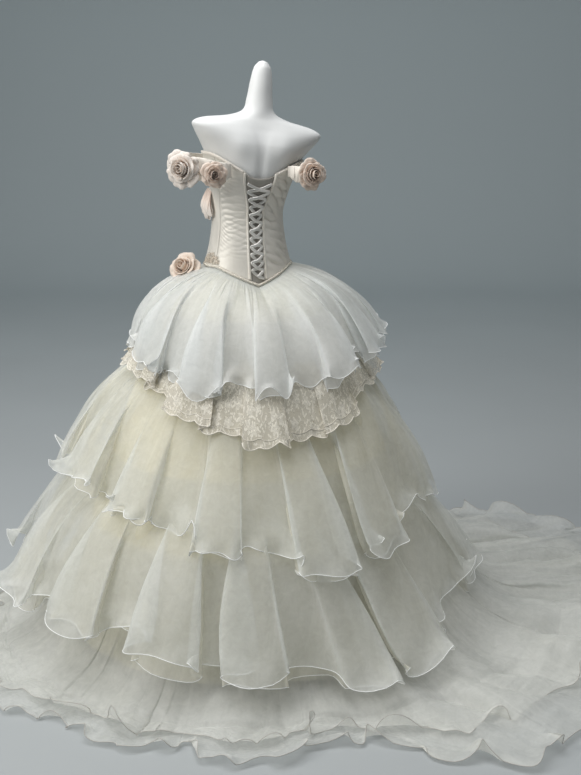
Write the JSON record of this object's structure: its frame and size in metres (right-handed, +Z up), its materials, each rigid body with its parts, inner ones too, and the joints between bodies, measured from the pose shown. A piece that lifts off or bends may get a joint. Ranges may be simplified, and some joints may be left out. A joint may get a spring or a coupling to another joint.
{
  "type": "quinceanera dress on a dress form",
  "caption": "Off-the-shoulder corset ball gown with tiered organza flounces, a lace tier, fabric roses and a long train, worn on a limbless dress form",
  "frame": {"origin": "centre of the underside of the stand's round foot, on the floor", "axes": "+Z up, -Y the gown's front, +X the wearer's left; the train runs out past the wearer's right"},
  "size_m": [2.2968, 1.7957, 1.604],
  "materials": {
    "beige_lace": "sequinned lace",
    "bodice_satin": "satin",
    "dusty_petals": "matt petals",
    "form_white": "smooth matt",
    "lace_cord": "satin cord",
    "organza": "sheer organza",
    "pale_petals": "matt petals",
    "peach_petals": "matt petals",
    "placket_satin": "satin",
    "sleeve_organza": "gathered organza",
    "stand_metal": "satin grey",
    "train_organza": "sheer organza",
    "trim_satin": "satin",
    "underskirt_satin": "satin"
  },
  "bodies": {
    "root": {"back_placket": "placket_satin", "bodice_back_left": "bodice_satin", "bodice_back_right": "bodice_satin", "bodice_front": "bodice_satin", "bodice_side_front_left": "bodice_satin", "bodice_side_front_right": "bodice_satin", "bodice_side_left": "bodice_satin", "bodice_side_right": "bodice_satin", "dress_form": "form_white", "floor_skirt_train": "train_organza", "flounce_1": "organza", "flounce_2": "organza", "flounce_3": "organza", "lace_flounce": "beige_lace", "lacing_cord": "lace_cord", "lacing_edge_left": "trim_satin", "lacing_edge_right": "trim_satin", "neckline_binding": "trim_satin", "petals_left": "peach_petals", "rosette_left_back": "dusty_petals", "rosette_left_outer": "pale_petals", "rosette_right": "dusty_petals", "rosette_waist": "peach_petals", "sleeve_left": "sleeve_organza", "sleeve_right": "sleeve_organza", "sleeve_ruffle_right": "sleeve_organza", "stand_foot": "stand_metal", "stand_pole": "stand_metal", "underskirt": "underskirt_satin", "waist_lace_motif": "beige_lace", "waist_piping": "trim_satin"}
  },
  "joints": []
}
